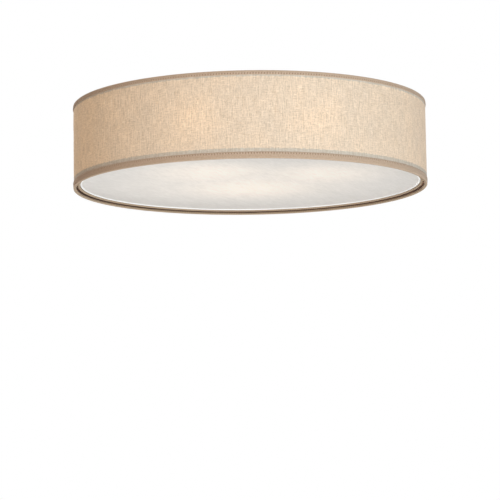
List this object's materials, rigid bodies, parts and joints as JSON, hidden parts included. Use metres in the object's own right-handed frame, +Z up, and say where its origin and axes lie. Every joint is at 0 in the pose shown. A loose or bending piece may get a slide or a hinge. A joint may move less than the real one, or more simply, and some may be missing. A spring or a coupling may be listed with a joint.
{
  "type": "flush mount ceiling light",
  "caption": "Round flush mount ceiling light: linen drum shade with taped edges, flat opal diffuser below, bulbs lying flat under a ceiling canopy.",
  "frame": {"origin": "centre of the crossbar's top face, in the ceiling plane", "axes": "+Z up into the ceiling, +X along the crossbar, the light hangs towards -Z"},
  "size_m": [0.5079, 0.508, 0.1254],
  "materials": {
    "linen": "oatmeal linen weave with slubs, laminated to a clear sheet",
    "trim_tape": "taupe woven tape, machine stitched",
    "styrene": "clear styrene sheet",
    "white_steel": "white powder coat on sheet steel and wire",
    "zinc_steel": "bright zinc plate",
    "nickel": "brushed nickel plate",
    "magnet_nickel": "bright nickel plate",
    "opal_acrylic": "opal acrylic with a fine satin face",
    "white_bead": "smooth white plastic bead",
    "glass_fibre": "pale yellow glass fibre wool",
    "black_nylon": "moulded nylon",
    "copper": "bare drawn copper",
    "green_screw": "green dyed zinc plate",
    "live_insulation": "black PVC insulation",
    "neutral_insulation": "white PVC insulation",
    "orange_cap": "moulded orange polypropylene",
    "yellow_cap": "moulded yellow polypropylene",
    "porcelain": "white glazed porcelain",
    "shell_brass": "drawn brass",
    "bulb_glass": "inside-frosted blown glass",
    "cap_aluminium": "drawn aluminium",
    "black_glass": "black vitrified glass",
    "solder": "dull solder"
  },
  "bodies": {
    "canopy": {"mounting_crossbar": "zinc_steel", "ceiling_canopy": "white_steel", "insulation_pad": "glass_fibre", "wire_bushing": "black_nylon", "canopy_screws": "zinc_steel", "canopy_washers": "zinc_steel", "canopy_nuts": "nickel", "ground_screws": "green_screw", "ground_wire": "copper", "bracket_rivets": "zinc_steel", "holder_screws": "zinc_steel", "live_leads": "live_insulation", "neutral_leads": "neutral_insulation", "live_splice_nut": "orange_cap", "neutral_splice_nut": "yellow_cap", "shade_studs": "zinc_steel", "lampholder_bracket_1": "white_steel", "lampholder_bracket_2": "white_steel", "lampholder_bracket_3": "white_steel", "lampholder_body_1": "porcelain", "lampholder_body_2": "porcelain", "lampholder_body_3": "porcelain", "screw_shell_1": "shell_brass", "screw_shell_2": "shell_brass", "screw_shell_3": "shell_brass", "centre_contact_1": "shell_brass", "centre_contact_2": "shell_brass", "centre_contact_3": "shell_brass"},
    "shade": {"shade_fabric": "linen", "shade_liner": "styrene", "top_ring": "white_steel", "bottom_ring": "white_steel", "top_trim": "trim_tape", "bottom_trim": "trim_tape", "magnet_brackets": "white_steel", "diffuser_magnets": "magnet_nickel", "shade_arm_1": "white_steel", "shade_arm_2": "white_steel", "shade_arm_3": "white_steel"},
    "diffuser": {"strike_plates": "zinc_steel", "diffuser_panel": "opal_acrylic", "diffuser_bead": "white_bead", "diffuser_hoop": "white_steel", "diffuser_trim": "trim_tape"},
    "nut_1": {"shade_nut_1": "nickel"},
    "bulb_base_1": {"bulb_insulator_1": "black_glass", "bulb_tip_1": "solder"},
    "bulb_1": {"bulb_glass_1": "bulb_glass", "bulb_cap_1": "cap_aluminium"},
    "nut_2": {"shade_nut_2": "nickel"},
    "bulb_base_2": {"bulb_insulator_2": "black_glass", "bulb_tip_2": "solder"},
    "bulb_2": {"bulb_glass_2": "bulb_glass", "bulb_cap_2": "cap_aluminium"},
    "nut_3": {"shade_nut_3": "nickel"},
    "bulb_base_3": {"bulb_insulator_3": "black_glass", "bulb_tip_3": "solder"},
    "bulb_3": {"bulb_glass_3": "bulb_glass", "bulb_cap_3": "cap_aluminium"}
  },
  "joints": [
    {"name": "shade_drop", "type": "slide", "parent": "canopy", "child": "shade", "axis": [0, 0, -1], "range_m": [0, 0.012]},
    {"name": "diffuser_release", "type": "slide", "parent": "shade", "child": "diffuser", "axis": [0, 0, -1], "range_m": [0, 0.15]},
    {"name": "nut_1_turn", "type": "hinge", "parent": "shade", "child": "nut_1", "pos_m": [0.09947, 0.08055, -0.0305], "axis": [0, 0, -1], "range_deg": [0, 5442.52]},
    {"name": "nut_2_turn", "type": "hinge", "parent": "shade", "child": "nut_2", "pos_m": [-0.1195, 0.04587, -0.0305], "axis": [0, 0, -1], "range_deg": [0, 5442.52]},
    {"name": "nut_3_turn", "type": "hinge", "parent": "shade", "child": "nut_3", "pos_m": [0.02002, -0.12642, -0.0305], "axis": [0, 0, -1], "range_deg": [0, 5442.52]},
    {"name": "bulb_1_travel", "type": "slide", "parent": "canopy", "child": "bulb_base_1", "axis": [-0.1564, 0.9877, 0], "range_m": [0, 0.018]},
    {"name": "bulb_1_turn", "type": "hinge", "parent": "bulb_base_1", "child": "bulb_1", "pos_m": [-0.01564, 0.09877, -0.07], "axis": [-0.1564, 0.9877, 0], "range_deg": [0, 1785.62]},
    {"name": "bulb_2_travel", "type": "slide", "parent": "canopy", "child": "bulb_base_2", "axis": [0.9336, -0.3584, 0], "range_m": [0, 0.018]},
    {"name": "bulb_2_turn", "type": "hinge", "parent": "bulb_base_2", "child": "bulb_2", "pos_m": [0.09336, -0.03584, -0.07], "axis": [0.9336, -0.3584, 0], "range_deg": [0, 1785.62]},
    {"name": "bulb_3_travel", "type": "slide", "parent": "canopy", "child": "bulb_base_3", "axis": [-0.7771, -0.6293, 0], "range_m": [0, 0.018]},
    {"name": "bulb_3_turn", "type": "hinge", "parent": "bulb_base_3", "child": "bulb_3", "pos_m": [-0.07772, -0.06293, -0.07], "axis": [-0.7771, -0.6293, 0], "range_deg": [0, 1785.62]}
  ],
  "couplings": [
    {"joint": "nut_1_turn", "follows": "shade_drop", "rad_per_m": 7915.8},
    {"joint": "nut_2_turn", "follows": "shade_drop", "rad_per_m": 7915.8},
    {"joint": "nut_3_turn", "follows": "shade_drop", "rad_per_m": 7915.8},
    {"joint": "bulb_1_travel", "follows": "bulb_1_turn", "m_per_rad": 0.00057757},
    {"joint": "bulb_2_travel", "follows": "bulb_2_turn", "m_per_rad": 0.00057757},
    {"joint": "bulb_3_travel", "follows": "bulb_3_turn", "m_per_rad": 0.00057757}
  ]
}
